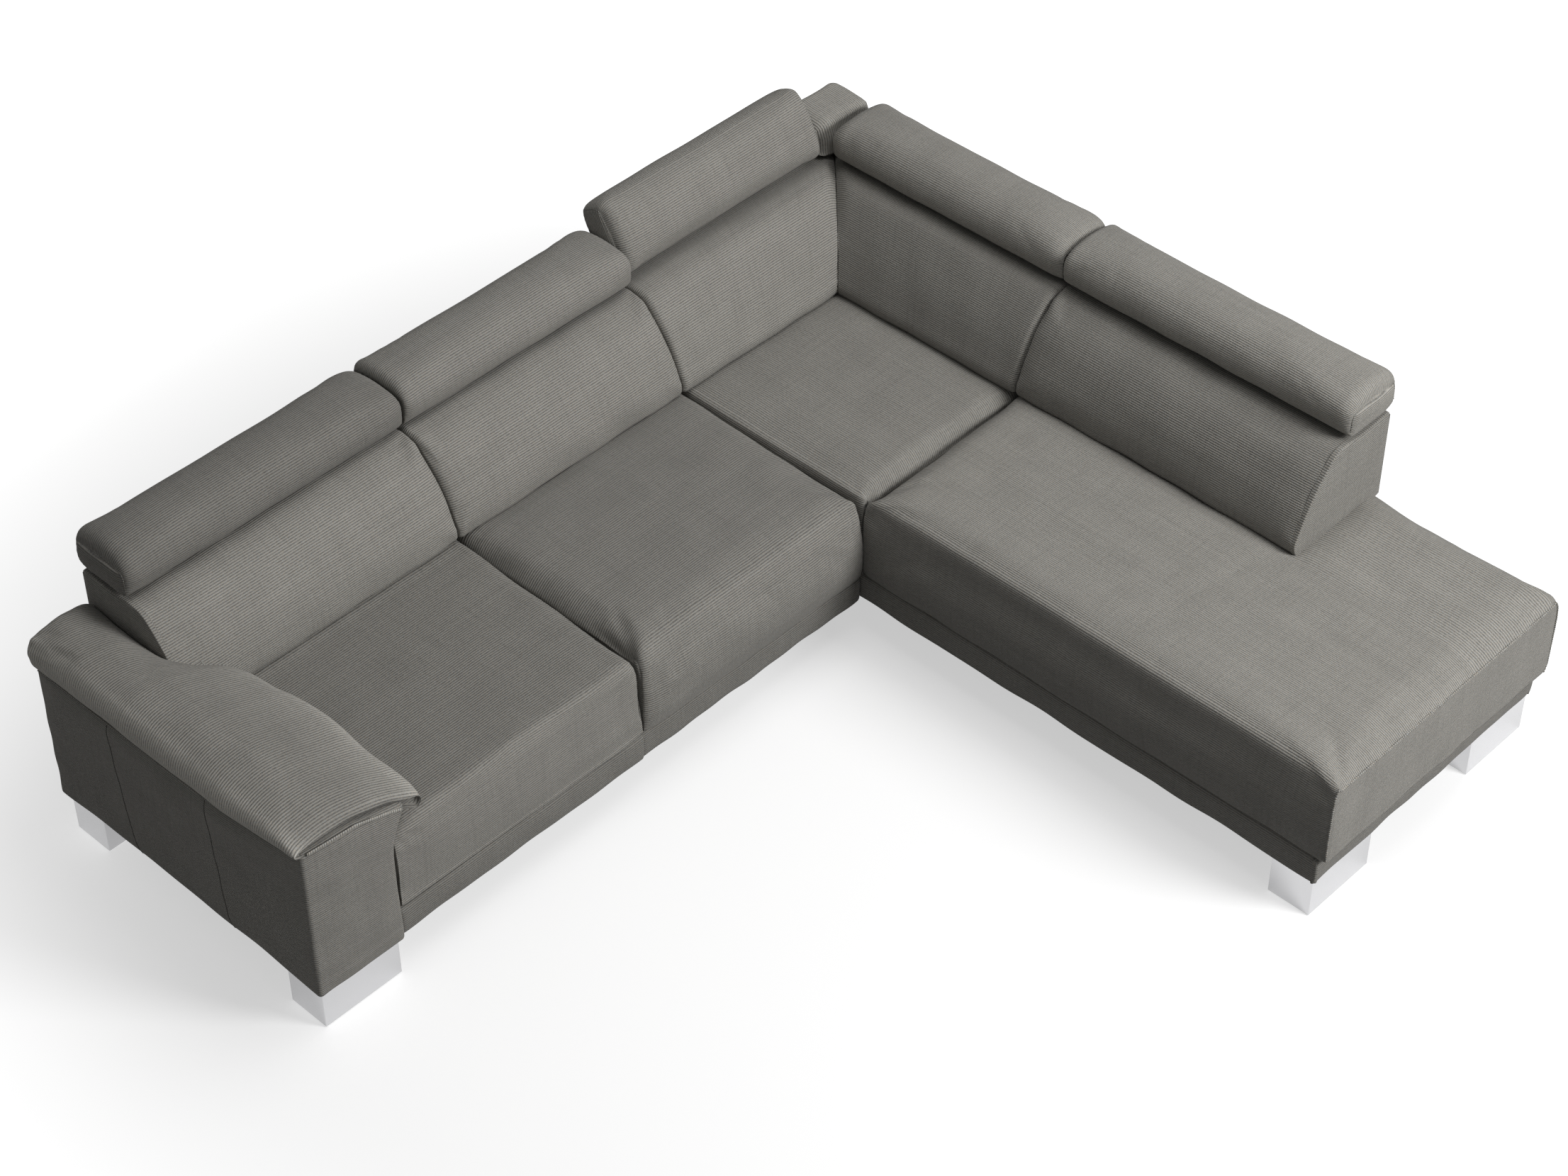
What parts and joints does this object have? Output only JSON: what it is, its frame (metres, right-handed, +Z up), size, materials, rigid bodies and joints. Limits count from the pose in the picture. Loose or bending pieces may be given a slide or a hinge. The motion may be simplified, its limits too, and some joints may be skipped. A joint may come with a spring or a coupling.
{
  "type": "corner sofa",
  "caption": "L-shaped upholstered corner sofa with an armrest, a chaise end, cord cushions, box feet and headrests that tilt up on ratchet hinges.",
  "frame": {"origin": "on the floor, under the middle of the sofa's box at rest", "axes": "+X along the long wing towards the outer corner, -Y along the chaise wing away from the corner, +Z up"},
  "size_m": [2.597, 2.2772, 0.8633],
  "materials": {
    "cord_upholstery": "fine-rib cord over foam, matt with a soft sheen",
    "cord_cover": "fine-rib cord over board and wadding, matt",
    "timber": "sawn softwood and plywood",
    "zinc_steel": "zinc plated",
    "chrome_steel": "polished",
    "black_plastic": "matt moulded",
    "felt": "needled felt",
    "webbing": "woven elastic",
    "lining": "spun-bonded lining"
  },
  "bodies": {
    "root": {"left_seat_frame": "timber", "right_seat_frame": "timber", "left_springs": "zinc_steel", "right_springs": "zinc_steel", "left_spring_felt": "felt", "right_spring_felt": "felt", "left_seat_cushion": "cord_upholstery", "middle_seat_cushion": "cord_upholstery", "corner_seat_cushion": "cord_upholstery", "chaise_cushion": "cord_upholstery", "left_base_border": "cord_cover", "middle_base_border": "cord_cover", "chaise_base_border": "cord_cover", "left_dust_cover": "lining", "right_dust_cover": "lining", "arm_frame": "timber", "arm_cover": "cord_cover", "arm_pad": "cord_upholstery", "left_back_frame": "timber", "right_back_frame": "timber", "left_back_webbing": "webbing", "right_back_webbing": "webbing", "left_back_cushion": "cord_upholstery", "middle_back_cushion": "cord_upholstery", "corner_left_back_cushion": "cord_upholstery", "corner_right_back_cushion": "cord_upholstery", "chaise_back_cushion": "cord_upholstery", "left_rear_cover": "cord_cover", "right_rear_cover": "cord_cover", "left_back_end_panel": "cord_cover", "chaise_back_end_panel": "cord_cover", "corner_block": "cord_upholstery", "arm_front_foot": "chrome_steel", "arm_rear_foot": "chrome_steel", "chaise_left_foot": "chrome_steel", "chaise_right_foot": "chrome_steel", "support_feet": "black_plastic", "foot_plates": "zinc_steel", "foot_screws": "zinc_steel", "glides": "black_plastic", "frame_bolts": "zinc_steel", "left_headrest_brackets": "zinc_steel", "right_headrest_brackets": "zinc_steel", "hinge_pins": "zinc_steel"},
    "left_headrest": {"left_headrest_cushion": "cord_upholstery", "left_headrest_board": "timber", "left_headrest_leaves": "zinc_steel"},
    "middle_headrest": {"middle_headrest_cushion": "cord_upholstery", "middle_headrest_board": "timber", "middle_headrest_leaves": "zinc_steel"},
    "corner_left_headrest": {"corner_left_headrest_cushion": "cord_upholstery", "corner_left_headrest_board": "timber", "corner_left_headrest_leaves": "zinc_steel"},
    "corner_right_headrest": {"corner_right_headrest_cushion": "cord_upholstery", "corner_right_headrest_board": "timber", "corner_right_headrest_leaves": "zinc_steel"},
    "chaise_headrest": {"chaise_headrest_cushion": "cord_upholstery", "chaise_headrest_board": "timber", "chaise_headrest_leaves": "zinc_steel"}
  },
  "joints": [
    {"name": "left_headrest_tilt", "type": "hinge", "parent": "root", "child": "left_headrest", "pos_m": [-0.7165, 1.0176, 0.758], "axis": [1, 0, 0], "range_deg": [0, 60]},
    {"name": "middle_headrest_tilt", "type": "hinge", "parent": "root", "child": "middle_headrest", "pos_m": [0.045, 1.0176, 0.758], "axis": [1, 0, 0], "range_deg": [0, 60]},
    {"name": "corner_left_headrest_tilt", "type": "hinge", "parent": "root", "child": "corner_left_headrest", "pos_m": [0.739, 1.0176, 0.758], "axis": [1, 0, 0], "range_deg": [-60, 0]},
    {"name": "corner_right_headrest_tilt", "type": "hinge", "parent": "root", "child": "corner_right_headrest", "pos_m": [1.1775, 0.5871, 0.758], "axis": [0, -1, 0], "range_deg": [0, 60]},
    {"name": "chaise_headrest_tilt", "type": "hinge", "parent": "root", "child": "chaise_headrest", "pos_m": [1.1775, -0.2064, 0.758], "axis": [0, -1, 0], "range_deg": [0, 60]}
  ]
}
